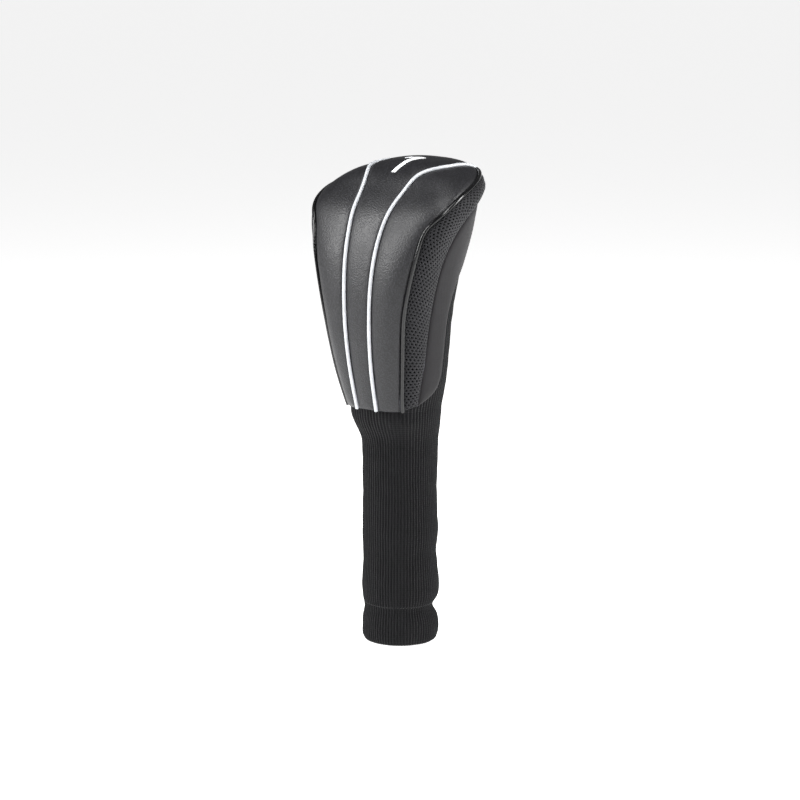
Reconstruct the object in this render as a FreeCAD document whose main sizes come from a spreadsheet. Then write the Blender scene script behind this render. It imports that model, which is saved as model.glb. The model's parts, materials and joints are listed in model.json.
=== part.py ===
import FreeCAD, Part
import math
import os
import Sketcher

Vector = FreeCAD.Vector

# Padded cover for a golf driver's head with a long knitted sleeve.  Millimetres.
# +Z runs up the sleeve, z = 0 is the folded hem, the crown faces -Y, the cover is symmetric about x = 0.

SIZES = (
    ("sleeve_length", 186.0, "hem to the seam between sleeve and shell"),
    ("sleeve_radius", 29.0, "outside of the relaxed sleeve"),
    ("sleeve_straight", 150.0, "height where the sleeve starts to widen"),
    ("knit_thick", 2.4, "rib knit, one ply"),
    ("hem_height", 32.0, "height of the folded hem"),
    ("hem_stitch", 1.6, "line of stitching below the top of the hem"),
    ("mouth", 0.0, "height of the sleeve's mouth"),
    ("head_length", 190.5, "shell seam to the top of the crown"),
    ("head_width", 138.0, "widest part of the shell"),
    ("head_depth", 101.0, "front to back across the shoulder"),
    ("face_thick", 1.2, "synthetic leather face"),
    ("foam_thick", 2.9, "padding foam behind the faces"),
    ("lining_thick", 0.9, "fleece lining"),
    ("tape_thick", 0.8, "binding tape over the seam allowance"),
    ("tape_width", 12.0, "width of the binding tape"),
    ("tape_rise", 1.35, "lower edge of the tape above the shell seam"),
    ("shell_hem", 1.0, "foot of the crown above the shell seam"),
    ("ply_gap", 0.1, "gap between laid-up plies"),
    ("seam_gap", 0.1, "gap between pieces that are sewn edge to edge"),
    ("piping_radius", 1.5, "outside of a piping"),
    ("cord_radius", 0.9, "filler cord inside a piping"),
    ("thread_radius", 0.35, "sewing thread"),
    ("number_thick", 0.5, "raised number on the crown"),
    ("number_scale", 1.0, "size of the number against its pattern"),
    ("pattern_length", 190.5, "head_length that the pattern below is drawn for"),
    ("pattern_width", 138.0, "head_width that the pattern below is drawn for"),
    ("pattern_depth", 101.0, "head_depth that the pattern below is drawn for"),
)

FORMULAS = (
    ("grade_long", "=head_length / pattern_length", "grading of the pattern along Z"),
    ("grade_wide", "=head_width / pattern_width", "grading of the pattern along X"),
    ("grade_deep", "=head_depth / pattern_depth", "grading of the pattern along Y"),
    ("foam_outer", "=face_thick + ply_gap", "depth of the foam's outer side below the surface"),
    ("foam_inner", "=foam_outer + foam_thick", "depth of the foam's inner side"),
    ("lining_outer", "=foam_inner + ply_gap", "depth of the lining's outer side"),
    ("lining_inner", "=lining_outer + lining_thick", "depth of the lining's inner side"),
    ("tape_outer", "=lining_inner + ply_gap", "depth of the tape's outer side"),
    ("tape_inner", "=tape_outer + tape_thick", "depth of the tape's inner side"),
    ("knit_inner", "=face_thick + knit_thick", "depth of the knit tongue's inner side"),
    ("piping_raise", "=piping_radius + seam_gap - face_thick", "piping axis above the surface"),
    ("sleeve_bore", "=sleeve_radius - knit_thick", "inside of the single-ply sleeve"),
    ("hem_bore", "=sleeve_bore - knit_thick", "inside of the two-ply hem"),
    ("cover_top", "=sleeve_length + head_length", "top of the crown"),
)

# Head form: height above the shell seam, Y of the section's middle, tilt, half width,
# depth to the front, depth to the back, squareness of the front and of the back.
STATION_COLUMNS = ("rise", "mid", "tilt", "wide", "fore", "aft", "square_fore", "square_aft")
STATIONS = (
    ("neck", 0.0, -2.9, 0.0, 35.4, 36.7, 33.7, 2.3, 2.1),
    ("throat", 26.0, -5.0, 0.0, 40.5, 40.4, 36.6, 2.7, 2.3),
    ("lower", 54.0, -7.7, 1.9, 43.6, 41.7, 39.5, 3.2, 2.5),
    ("waist", 84.0, -8.8, 2.9, 48.0, 42.1, 42.8, 3.8, 2.5),
    ("belly", 114.0, -8.7, 3.3, 55.0, 40.0, 46.5, 4.4, 2.5),
    ("swell", 139.0, -6.5, 5.3, 63.4, 36.2, 48.6, 4.7, 2.3),
    ("shoulder", 159.0, -0.6, 7.0, 69.0, 32.4, 46.0, 4.5, 2.0),
    ("brow", 173.0, 12.2, 7.2, 62.8, 32.5, 43.0, 4.0, 2.1),
    ("crown", 183.0, 19.0, 6.5, 44.8, 29.6, 34.5, 3.4, 2.1),
    ("cap", 188.3, 20.4, 3.2, 25.0, 20.0, 22.0, 2.7, 2.1),
    ("tip", 190.5, 20.7, 1.5, 7.0, 9.6, 8.7, 2.0, 2.0),
)

# Sleeve flare between the straight sleeve and the shell seam: fraction of the way up, fraction of the
# way from the sleeve's circle to the neck section.
FLARE = ((0.0, 0.0), (0.16, 0.02), (0.38, 0.17), (0.62, 0.62), (0.83, 0.93), (1.0, 1.0))

# Seam lines in side view: Y and height above the shell seam.
CROWN_EDGE = ((-29.6, 1.6), (-33.1, 15.0), (-39.8, 51.0), (-42.9, 78.0), (-42.9, 102.0), (-39.6, 131.0),
              (-35.1, 144.0), (-27.7, 153.0), (-10.2, 165.0), (9.0, 172.3), (31.6, 179.5), (56.0, 184.0),
              (80.0, 187.0))
MESH_EDGE = ((-19.4, 5.4), (-20.0, 25.0), (-19.0, 50.0), (-18.2, 75.0), (-16.8, 98.0), (-14.8, 117.0),
             (-9.6, 134.0), (-3.0, 146.0), (8.0, 155.0), (24.0, 162.0), (56.0, 170.0), (80.0, 174.0))
TONGUE_EDGE = ((-19.4, 5.0), (-12.0, 9.0), (-4.0, 14.5), (0.5, 21.0), (2.0, 32.0), (3.0, 51.0),
               (3.5, 70.0), (6.0, 86.0), (12.0, 100.0), (22.0, 110.0), (40.0, 116.0), (80.0, 118.0))
LINING_SEAM_BACK = 4.5

# Centre panel: Y, height above the shell seam and half width along the middle of the crown.
CENTRE_PANEL = ((-37.0, -8.0, 9.0), (-42.6, 15.5, 10.0), (-47.2, 40.0, 10.9), (-50.3, 66.0, 11.9),
                (-50.4, 94.0, 12.9), (-46.6, 120.0, 14.3), (-41.5, 138.0, 15.7), (-35.4, 151.0, 17.3),
                (-27.5, 161.5, 19.0), (-18.4, 170.0, 21.2), (-8.0, 178.4, 25.2), (3.0, 183.4, 31.6),
                (14.0, 185.8, 34.6), (30.0, 187.2, 36.2), (44.0, 186.6, 37.8), (54.0, 183.0, 39.2),
                (59.5, 174.0, 40.2), (61.0, 163.0, 41.0))
PANEL_REACH_IN = 9.0
PANEL_REACH_OUT = 9.0

# Number one on the crown, in plan.
NUMBER_ONE = ((-0.4, -10.0), (3.6, -10.0), (11.6, 17.0), (8.2, 17.0), (-1.4, 11.6), (-2.2, 8.4), (6.0, 11.8))

SECTION_POINTS = 28
STRAIGHT_STEPS = 20
STRIP_STATIONS = 32
PATH_SPACING = 9.0
SIDE_REACH = 0.2
FAR = 120.0
FLAT = 0.01
CROWN_TO_TONGUE = 12.0


doc = FreeCAD.newDocument("HeadCover")
sheet = doc.addObject("Spreadsheet::Sheet", "Sizes")


def fill_sheet():
    rows = [(alias, str(value), note) for alias, value, note in SIZES]
    rows += [(alias, formula, note) for alias, formula, note in FORMULAS]
    for station in STATIONS:
        for column, value in zip(STATION_COLUMNS, station[1:]):
            rows.append((station[0] + "_" + column, str(value), "head form station"))
    for index, (alias, content, note) in enumerate(rows, start=1):
        sheet.set("A%d" % index, note)
        sheet.set("B%d" % index, content)
        sheet.setAlias("B%d" % index, alias)
    doc.recompute()


def size(alias):
    return float(sheet.get(alias))


fill_sheet()
GAP = size("seam_gap")
SEAM_Z = size("sleeve_length")


def graded(y, rise):
    """Point of the pattern in side view, at the size being made."""
    return Vector(0, y * size("grade_deep"), SEAM_Z + rise * size("grade_long"))


def feature(name, shape):
    made = doc.addObject("Part::Feature", name)
    made.Shape = shape
    made.Placement = FreeCAD.Placement()
    return made


def boolean(kind, name, base, tool):
    made = doc.addObject("Part::" + kind, name)
    made.Base = base
    made.Tool = tool
    return made


def cut(name, base, tool):
    return boolean("Cut", name, base, tool)


def common(name, base, tool):
    return boolean("Common", name, base, tool)


def spline(points):
    curve = Part.BSplineCurve()
    curve.interpolate(points)
    return curve.toShape()


# Head form -----------------------------------------------------------------------------------------

def station_rows():
    """Graded stations, each with the outward direction of its wall as (radial, upward)."""
    rows = []
    for station in STATIONS:
        row = {column: size(station[0] + "_" + column) for column in STATION_COLUMNS}
        row["rise"] *= size("grade_long")
        row["wide"] *= size("grade_wide")
        for column in ("mid", "fore", "aft"):
            row[column] *= size("grade_deep")
        row["mean"] = (2 * row["wide"] + row["fore"] + row["aft"]) / 4
        rows.append(row)
    for index, row in enumerate(rows):
        below = rows[max(index - 1, 0)]
        above = rows[min(index + 1, len(rows) - 1)]
        lean = (above["mean"] - below["mean"]) / (above["rise"] - below["rise"])
        if index == 0:
            lean = 0.0
        length = math.hypot(1.0, lean)
        row["radial"] = 1.0 / length
        row["upward"] = -lean / length
    return rows


ROWS = station_rows()


def section_points(row, depth):
    """Rounded section of the head form, a given depth below the surface."""
    tilt = math.radians(row["tilt"])
    wide = row["wide"] - depth * row["radial"]
    points = []
    for index in range(SECTION_POINTS):
        angle = 2 * math.pi * index / SECTION_POINTS - math.pi / 2
        across = math.cos(angle)
        along = math.sin(angle)
        side = "fore" if along < 0 else "aft"
        power = row["square_" + side]
        reach = row[side] - depth * row["radial"]
        radius = (abs(across) ** power + abs(along) ** power) ** (-1.0 / power)
        offset = reach * along * radius
        points.append(Vector(wide * across * radius,
                             row["mid"] + offset * math.cos(tilt),
                             SEAM_Z + row["rise"] - depth * row["upward"] + offset * math.sin(tilt)))
    return points


def closed_wire(points):
    """Closed outline of two smooth halves that meet on the plane of symmetry."""
    half = len(points) // 2
    edges = []
    for part, heading in ((points[:half + 1], 1), (points[half:] + points[:1], -1)):
        curve = Part.BSplineCurve()
        tangent = Vector(heading, 0, 0)
        curve.interpolate(Points=part, InitialTangent=tangent, FinalTangent=tangent * -1)
        edges.append(curve.toShape())
    return Part.Wire(edges)


def head_form(depth):
    """Solid inside the head form, a given depth below the surface."""
    return Part.makeLoft([closed_wire(section_points(row, depth)) for row in ROWS], True, False)


def end_face(solid, middle):
    """Flat face of a solid that lies nearest to a point."""
    flat = [face for face in solid.Faces if face.Surface.TypeId == "Part::GeomPlane"]
    return min(flat, key=lambda face: face.CenterOfMass.distanceToPoint(middle))


def wall(outer, inner, openings):
    """Hollow solid between two closed solids that both end flat at the given points."""
    faces = []
    rims = [[] for opening in openings]
    for solid, flip in ((outer, False), (inner, True)):
        ends = [end_face(solid, middle) for middle in openings]
        for face in solid.Faces:
            if not any(face.isSame(end) for end in ends):
                faces.append(face.reversed() if flip else face)
        for rim, end in zip(rims, ends):
            rim.append(end.OuterWire)
    for rim in rims:
        faces += Part.makeFace(Part.Compound(rim), "Part::FaceMakerBullseye").Faces
    shell = Part.Shell(faces)
    shell.sewShape()
    solid = Part.Solid(shell)
    return solid.reversed() if solid.Volume < 0 else solid


def ply(name, outer_depth, inner_depth):
    neck = [Vector(0, 0, SEAM_Z)]
    return feature(name, wall(head_form(outer_depth), head_form(inner_depth), neck))


def right_box(name, gap_share):
    """Everything to the right of a plane near the plane of symmetry."""
    box = doc.addObject("Part::Box", name)
    box.setExpression("Length", "Sizes.head_width")
    box.setExpression("Width", "Sizes.head_depth * 3")
    box.setExpression("Height", "Sizes.cover_top * 2")
    box.setExpression("Placement.Base.x", "Sizes.seam_gap * %s" % gap_share)
    box.setExpression("Placement.Base.y", "-Sizes.head_depth * 1.5")
    box.setExpression("Placement.Base.z", "-Sizes.head_length")
    return box


right_side = right_box("RightSide", 0)
right_clear = right_box("RightClear", 0.5)


def mirrored(name, source):
    made = doc.addObject("Part::Mirroring", name)
    made.Source = source
    made.Normal = Vector(1, 0, 0)
    made.Base = Vector(0, 0, 0)
    return made


def both_halves(name, right):
    """One piece from its right half and the mirror image of that half."""
    made = doc.addObject("Part::Fuse", name)
    made.Base = right
    made.Tool = mirrored(name + "Left", right)
    made.Refine = True
    return made


def right_ply(name, outer_depth, inner_depth):
    return common(name + "Right", ply(name, outer_depth, inner_depth), right_side)


piping_form = head_form(-size("piping_raise"))
face_ply = right_ply("FacePly", 0.0, size("face_thick"))
foam_ply = right_ply("FoamPly", size("foam_outer"), size("foam_inner"))
lining_ply = right_ply("LiningPly", size("lining_outer"), size("lining_inner"))
tape_ply = right_ply("TapePly", size("tape_outer"), size("tape_inner"))
mesh_ply = right_ply("MeshPly", 0.0, size("foam_inner"))
knit_ply = right_ply("KnitPly", size("face_thick"), size("knit_inner"))
number_ply = ply("NumberPly", -size("ply_gap") - size("number_thick"), -size("ply_gap"))


# Zones of the pattern, each a side-view outline right across the cover -------------------------------

def shifted(points, distance):
    """Points moved sideways by a distance, to the left of the way they run."""
    moved = []
    for index, point in enumerate(points):
        ahead = points[min(index + 1, len(points) - 1)]
        behind = points[max(index - 1, 0)]
        run = (ahead - behind).normalize()
        moved.append(point + Vector(0, -run.z, run.y) * distance)
    return moved


def zone(name, upper, lower):
    """Zone across the whole cover between two seam lines, each given as points from low to high."""
    edges = [spline(upper), Part.makeLine(upper[-1], lower[-1]), spline(lower),
             Part.makeLine(lower[0], upper[0])]
    return extruded(name, edges)


def extruded(name, edges):
    profile = feature(name + "Outline", Part.Wire(edges))
    made = doc.addObject("Part::Extrusion", name)
    made.Base = profile
    made.DirMode = "Custom"
    made.Dir = Vector(1, 0, 0)
    made.setExpression("LengthFwd", "Sizes.head_width * 2")
    made.Symmetric = True
    made.Solid = True
    return made


def open_zone(name, seam, corners):
    """Zone on one side of a seam line, closed by straight lines through the corners."""
    stops = [seam[-1]] + corners + [seam[0]]
    edges = [spline(seam)] + [Part.makeLine(start, end) for start, end in zip(stops, stops[1:])]
    return extruded(name, edges)


crown_line = [graded(y, rise) for y, rise in CROWN_EDGE]
mesh_line = [graded(y, rise) for y, rise in MESH_EDGE]
tongue_line = [graded(y, rise) for y, rise in TONGUE_EDGE]
HALF_PIPING = size("piping_radius") + GAP
above = size("cover_top") + FAR
below = SEAM_Z - FAR


def crown_area(name, trim):
    seam = shifted(crown_line, trim)
    corners = [Vector(0, seam[-1].y, above), Vector(0, -FAR, above), Vector(0, -FAR, seam[0].z)]
    return open_zone(name, seam, corners)


crown_face_zone = crown_area("CrownFaceZone", HALF_PIPING)
crown_zone = crown_area("CrownZone", 0.0)
crown_foam_zone = crown_area("CrownFoamZone", GAP - HALF_PIPING)
crown_lining_zone = crown_area("CrownLiningZone", GAP - LINING_SEAM_BACK)
mesh_zone = zone("MeshZone", shifted(crown_line, -HALF_PIPING), shifted(mesh_line, GAP / 2))
back_zone = zone("BackZone", shifted(mesh_line, -GAP / 2), shifted(tongue_line, GAP / 2))
lower_zone = zone("LowerZone", shifted(crown_line, -LINING_SEAM_BACK), shifted(tongue_line, GAP / 2))
tongue_seam = shifted(tongue_line, -GAP / 2)
tongue_zone = open_zone("TongueZone", tongue_seam,
                        [Vector(0, tongue_seam[-1].y, below), Vector(0, -FAR, below),
                         Vector(0, -FAR, SEAM_Z + size("shell_hem")), Vector(0, crown_line[0].y, SEAM_Z + size("shell_hem"))])


def strip_stations():
    """Evenly spaced stations along the centre panel: half width in X, middle line in Y and Z."""
    points = []
    for y, rise, half in CENTRE_PANEL:
        points.append(graded(y, rise) + Vector(half * size("grade_wide"), 0, 0))
    return spline(points).discretize(Number=STRIP_STATIONS)


strip = strip_stations()
strip_middle = [Vector(0, point.y, point.z) for point in strip]
strip_inner = shifted(strip_middle, -PANEL_REACH_IN)
strip_outer = shifted(strip_middle, PANEL_REACH_OUT)


def centre_zone(name, extra):
    """Strip that follows the middle of the crown, as wide as the centre panel."""
    wires = []
    for station, inner, outer in zip(strip, strip_inner, strip_outer):
        side = Vector(station.x + extra, 0, 0)
        corners = [outer - side, outer + side, inner + side, inner - side]
        wires.append(Part.makePolygon(corners + corners[:1]))
    return feature(name, Part.makeLoft(wires, True, False))


centre_foam_zone = centre_zone("CentreFoamZone", -GAP / 2)
centre_foam_clear = centre_zone("CentreFoamClear", GAP / 2)
centre_face_zone = centre_zone("CentreFaceZone", -HALF_PIPING)
centre_face_clear = centre_zone("CentreFaceClear", HALF_PIPING)


# Pipings ---------------------------------------------------------------------------------------------

def leaves_form(edge, far_end):
    """Where an edge that starts inside the form of the piping axes leaves it, nearest to the far end."""
    places = [vertex.Point for vertex in piping_form.common(edge).Vertexes]
    return min(places, key=far_end.distanceToPoint) if places else None


def edge_points():
    """Right half of the edge piping's path, from the shell seam to the middle of the back."""
    points = []
    for point in spline(crown_line).discretize(Distance=PATH_SPACING):
        if point.y < size("head_depth") * SIDE_REACH:
            far_end = Vector(FAR, point.y, point.z)
            points.append(leaves_form(Part.makeLine(point, far_end), far_end))
    across = points[-1].x - PATH_SPACING
    while across > PATH_SPACING / 3:
        seam = spline(crown_line)
        seam.translate(Vector(across, 0, 0))
        points.append(leaves_form(seam, seam.valueAt(seam.LastParameter)))
        across -= PATH_SPACING
    return points


def rod(path, radius):
    start = path.valueAt(path.FirstParameter)
    along = path.tangentAt(path.FirstParameter)
    ring = Part.Wire([Part.makeCircle(radius, start, along)])
    return Part.Wire([path]).makePipeShell([ring], True, False)


def piping(name, path):
    """Covering strip and filler cord of one piping."""
    ends = [path.valueAt(path.FirstParameter), path.valueAt(path.LastParameter)]
    cover = wall(rod(path, size("piping_radius")), rod(path, size("cord_radius") + size("ply_gap")), ends)
    return feature(name + "Cover", cover), feature(name + "Cord", rod(path, size("cord_radius")))


def mirror_point(point):
    return Vector(-point.x, point.y, point.z)


right_points = edge_points()
edge_path = spline([mirror_point(point) for point in right_points] + right_points[::-1])
edge_cover, edge_cord = piping("Edge", edge_path)

doc.recompute()
white_points = []
for station, inner, outer in zip(strip, strip_inner, strip_outer):
    side = Vector(station.x, 0, 0)
    point = leaves_form(Part.makeLine(inner + side, outer + side), outer + side)
    if point is None or point.z < SEAM_Z + 2 * size("shell_hem"):
        continue
    on_crown = crown_zone.Shape.isInside(Vector(0, point.y, point.z), FLAT, True)
    from_edge = edge_path.distToShape(Part.Vertex(point))[0]
    if on_crown and from_edge > 2 * HALF_PIPING:
        white_points.append(point)
white_cover, white_cord = piping("White", spline(white_points))


# Crown -----------------------------------------------------------------------------------------------

crown_face = common("CrownFace", face_ply, crown_face_zone)
crown_foam = common("CrownFoam", foam_ply, crown_foam_zone)
side_panel = cut("SidePanel", crown_face, centre_face_clear)
side_foam = cut("SideFoam", crown_foam, centre_foam_clear)
nodes = {
    "crown_panel_left": mirrored("PanelLeft", side_panel),
    "crown_panel_centre": both_halves("PanelCentre", common("PanelCentreHalf", crown_face, centre_face_zone)),
    "crown_panel_right": side_panel,
    "crown_foam_left": mirrored("FoamLeft", side_foam),
    "crown_foam_centre": both_halves("FoamCentre", common("FoamCentreHalf", crown_foam, centre_foam_zone)),
    "crown_foam_right": side_foam,
    "crown_lining": both_halves("CrownLining", common("CrownLiningHalf", lining_ply, crown_lining_zone)),
    "white_piping_left": mirrored("WhiteLeft", white_cover),
    "white_piping_right": white_cover,
    "white_piping_cord_left": mirrored("WhiteCordLeft", white_cord),
    "white_piping_cord_right": white_cord,
    "edge_piping": edge_cover,
    "edge_piping_cord": edge_cord,
}


# Sides and back --------------------------------------------------------------------------------------

mesh_band = common("MeshBand", mesh_ply, mesh_zone)
gusset = common("Gusset", mesh_band, right_clear)
nodes["mesh_gusset_left"] = mirrored("GussetLeft", gusset)
nodes["mesh_gusset_right"] = gusset
nodes["back_panel"] = both_halves("BackPanel", common("BackPanelHalf", face_ply, back_zone))
nodes["back_foam"] = both_halves("BackFoam", common("BackFoamHalf", foam_ply, back_zone))
nodes["lower_lining"] = both_halves("LowerLining", common("LowerLiningHalf", lining_ply, lower_zone))


# Sleeve ----------------------------------------------------------------------------------------------

def sleeve_form(depth):
    """Solid inside the sleeve from its mouth to the shell seam, a depth inside the outside."""
    neck = section_points(ROWS[0], size("face_thick") + depth)
    radius = size("sleeve_radius") - depth
    wires = []
    for height, share in sleeve_stations():
        points = []
        for index, goal in enumerate(neck):
            angle = 2 * math.pi * index / SECTION_POINTS - math.pi / 2
            ring = Vector(radius * math.cos(angle), radius * math.sin(angle), 0)
            points.append(ring * (1 - share) + Vector(goal.x, goal.y, 0) * share + Vector(0, 0, height))
        wires.append(closed_wire(points))
    return Part.makeLoft(wires, True, False)


def sleeve_stations():
    """Heights, each with its share of the way from the sleeve's circle to the neck section."""
    straight = size("sleeve_straight")
    stations = [(straight * step / STRAIGHT_STEPS, 0.0) for step in range(STRAIGHT_STEPS)]
    return stations + [(straight + climb * (SEAM_Z - straight), share) for climb, share in FLARE]


sleeve_ends = [Vector(0, 0, 0), Vector(0, 0, SEAM_Z)]
sleeve_ply = feature("SleevePly", wall(sleeve_form(0.0), sleeve_form(size("knit_thick")), sleeve_ends))
sleeve_half = doc.addObject("Part::Fuse", "SleeveHalf")
sleeve_half.Base = common("SleeveTube", sleeve_ply, right_side)
sleeve_half.Tool = common("SleeveTongue", knit_ply, tongue_zone)


def plane_of(body, role):
    return next(part for part in body.Origin.OriginFeatures if part.Role == role)


def closed_sketch(body, name, role, corners):
    """Straight-sided profile; each corner is a pair of formulas that drive its two coordinates."""
    places = [Vector(number(across), number(up), 0) for across, up in corners]
    profile = body.newObject("Sketcher::SketchObject", name)
    profile.AttachmentSupport = [(plane_of(body, role), "")]
    profile.MapMode = "FlatFace"
    count = len(places)
    for index in range(count):
        profile.addGeometry(Part.LineSegment(places[index], places[(index + 1) % count]), False)
    for index in range(count):
        profile.addConstraint(Sketcher.Constraint("Coincident", index, 2, (index + 1) % count, 1))
    for index, corner in enumerate(corners):
        for kind, formula, value in zip(("DistanceX", "DistanceY"), corner, places[index]):
            added = profile.addConstraint(Sketcher.Constraint(kind, -1, 1, index, 1, value))
            profile.setExpression("Constraints[%d]" % added, formula)
    return profile


def number(formula):
    """Value of a formula in the sheet's names."""
    sheet.set("D1", "=" + formula.replace("Sizes.", ""))
    sheet.recompute()
    return float(sheet.get("D1"))


hem_fold = doc.addObject("PartDesign::Body", "HemFold")
HEM_OUTER = "Sizes.sleeve_bore + Sizes.knit_thick / 2"
hem_profile = closed_sketch(hem_fold, "HemProfile", "XZ_Plane", (
    ("Sizes.hem_bore", "Sizes.mouth"),
    (HEM_OUTER, "Sizes.mouth"),
    (HEM_OUTER, "Sizes.hem_height"),
    ("Sizes.hem_bore", "Sizes.hem_height"),
))
hem_turned = hem_fold.newObject("PartDesign::Revolution", "HemTurned")
hem_turned.Profile = hem_profile
hem_turned.ReferenceAxis = (hem_profile, ["V_Axis"])
hem_turned.Angle = 360.0

sleeve_with_hem = doc.addObject("Part::Fuse", "SleeveWithHem")
sleeve_with_hem.Base = both_halves("Sleeve", sleeve_half)
sleeve_with_hem.Tool = hem_fold


def thread_ring(name, formula):
    ring = doc.addObject("Part::Torus", name)
    ring.setExpression("Radius1", "Sizes.sleeve_radius")
    ring.setExpression("Radius2", formula)
    ring.setExpression("Placement.Base.z", "Sizes.hem_height - Sizes.hem_stitch")
    return ring


hem_thread = thread_ring("HemThread", "Sizes.thread_radius")
hem_thread_clear = thread_ring("HemThreadClear", "Sizes.thread_radius + Sizes.seam_gap")
nodes["knit_sleeve"] = cut("KnitSleeve", sleeve_with_hem, hem_thread_clear)
nodes["hem_thread"] = hem_thread


# Tape over the seam allowance at the foot of the lining, number on the crown -------------------------

tape_slab = doc.addObject("Part::Box", "TapeSlab")
tape_slab.setExpression("Length", "Sizes.head_width * 2")
tape_slab.setExpression("Width", "Sizes.head_depth * 2")
tape_slab.setExpression("Height", "Sizes.tape_width")
tape_slab.setExpression("Placement.Base.x", "-Sizes.head_width")
tape_slab.setExpression("Placement.Base.y", "-Sizes.head_depth")
tape_slab.setExpression("Placement.Base.z", "Sizes.sleeve_length + Sizes.tape_rise")
shell_zone = crown_area("ShellZone", -CROWN_TO_TONGUE)
tape_half = common("TapeOnShell", common("TapeBand", tape_ply, tape_slab), shell_zone)
nodes["neck_tape"] = both_halves("NeckTape", tape_half)

number_body = doc.addObject("PartDesign::Body", "NumberBody")
number_outline = [("Sizes.number_scale * %s" % x, "Sizes.number_scale * %s" % y) for x, y in NUMBER_ONE]
number_profile = closed_sketch(number_body, "NumberProfile", "XY_Plane", number_outline)
number_pad = number_body.newObject("PartDesign::Pad", "NumberPad")
number_pad.Profile = number_profile
number_pad.setExpression("Length", "Sizes.cover_top * 2")
nodes["number_one"] = common("NumberOne", number_ply, number_body)


# Results ---------------------------------------------------------------------------------------------

doc.recompute()
for made in doc.Objects:
    if {"Invalid", "Error"} & set(made.State):
        raise RuntimeError("%s did not build" % made.Name)
os.makedirs("parts", exist_ok=True)
for node, made in nodes.items():
    made.Label = node
    shape = made.Shape
    if shape.isNull() or not shape.isValid() or len(shape.Solids) != 1:
        raise RuntimeError("%s is not one valid solid" % node)
    shape.exportStep("parts/%s.step" % node)
print("wrote %d parts" % len(nodes))
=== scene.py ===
import json
import math

import bmesh
import bpy
import numpy as np
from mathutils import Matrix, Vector
from mathutils.bvhtree import BVHTree


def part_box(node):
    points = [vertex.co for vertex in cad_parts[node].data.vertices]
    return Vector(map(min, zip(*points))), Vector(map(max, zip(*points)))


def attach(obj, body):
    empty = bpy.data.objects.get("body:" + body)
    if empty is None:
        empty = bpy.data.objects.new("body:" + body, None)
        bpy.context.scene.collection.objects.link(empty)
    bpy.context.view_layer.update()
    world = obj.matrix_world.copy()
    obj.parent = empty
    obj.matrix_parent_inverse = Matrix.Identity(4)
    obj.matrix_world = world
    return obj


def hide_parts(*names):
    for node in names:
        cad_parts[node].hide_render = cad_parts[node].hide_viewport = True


# Padded golf driver head cover with a rib-knit sleeve.  Lengths below are millimetres until a mesh is
# made; +Z runs up the sleeve, the crown faces -Y and the cover is symmetric about x = 0.

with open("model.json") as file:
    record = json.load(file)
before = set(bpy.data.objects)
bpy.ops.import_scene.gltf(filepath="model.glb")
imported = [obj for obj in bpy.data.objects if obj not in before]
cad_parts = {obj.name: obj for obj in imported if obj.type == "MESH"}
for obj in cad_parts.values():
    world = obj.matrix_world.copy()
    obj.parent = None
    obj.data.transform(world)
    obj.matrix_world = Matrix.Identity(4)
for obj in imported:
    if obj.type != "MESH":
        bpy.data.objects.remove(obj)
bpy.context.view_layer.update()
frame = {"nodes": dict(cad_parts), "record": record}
scene = bpy.context.scene
MM = 0.001


def box_mm(node):
    low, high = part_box(node)
    return np.array(low) / MM, np.array(high) / MM


# Driving sizes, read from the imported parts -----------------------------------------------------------

THREAD_RADIUS = 0.35
SHELL_HEM = 1.0
SLEEVE_RADIUS = box_mm("hem_thread")[1][0] - THREAD_RADIUS
HEM_STITCH_Z = (box_mm("hem_thread")[0][2] + box_mm("hem_thread")[1][2]) / 2
SEAM_Z = box_mm("crown_panel_centre")[0][2] - SHELL_HEM
TOP_Z = box_mm("crown_panel_centre")[1][2]
MOUTH_RADIUS = frame["record"]["mounts"][0]["dims"]["r_mm"]
HEM_HEIGHT = frame["record"]["mounts"][0]["dims"]["length_mm"]
KNIT_THICK = (SLEEVE_RADIUS - MOUTH_RADIUS) / 2
PIPING_RADIUS = 1.5
WHITE_PIPING_RADIUS = 0.92 * PIPING_RADIUS
CORD_RADIUS = 0.85
PIPING_RAISE = 0.4
FLARE_Z = 150.0
FOOT = 1.6
NECK_Y = -2.9

# Head form, the pattern that the CAD parts follow: height above the shell seam, Y of the section's middle,
# tilt, half width, depth to the front, depth to the back, squareness of the front and of the back.
# The last station closes the top.
STATIONS = (
    (0.0, -2.9, 0.0, 35.4, 36.7, 33.7, 2.3, 2.1),
    (26.0, -5.0, 0.0, 40.5, 40.4, 36.6, 2.7, 2.3),
    (54.0, -7.7, 1.9, 43.6, 41.7, 39.5, 3.2, 2.5),
    (84.0, -8.8, 2.9, 48.0, 42.1, 42.8, 3.8, 2.5),
    (114.0, -8.7, 3.3, 55.0, 40.0, 46.5, 4.4, 2.5),
    (139.0, -6.5, 5.3, 63.4, 36.2, 48.6, 4.7, 2.3),
    (159.0, -0.6, 7.0, 69.0, 32.4, 46.0, 4.5, 2.0),
    (173.0, 12.2, 7.2, 62.8, 32.5, 43.0, 4.0, 2.1),
    (183.0, 19.0, 6.5, 44.8, 29.6, 34.5, 3.4, 2.1),
    (188.3, 20.4, 3.2, 25.0, 20.0, 22.0, 2.7, 2.1),
    (190.5, 20.7, 1.5, 7.0, 9.6, 8.7, 2.0, 2.0),
    (190.9, 20.7, 0.0, 0.1, 0.1, 0.1, 2.0, 2.0),
)
# Sleeve flare: fraction of the way up, fraction of the way from the sleeve's circle to the neck section.
FLARE = ((0.0, 0.0), (0.16, 0.02), (0.38, 0.17), (0.62, 0.62), (0.83, 0.93), (1.0, 1.0))
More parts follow.
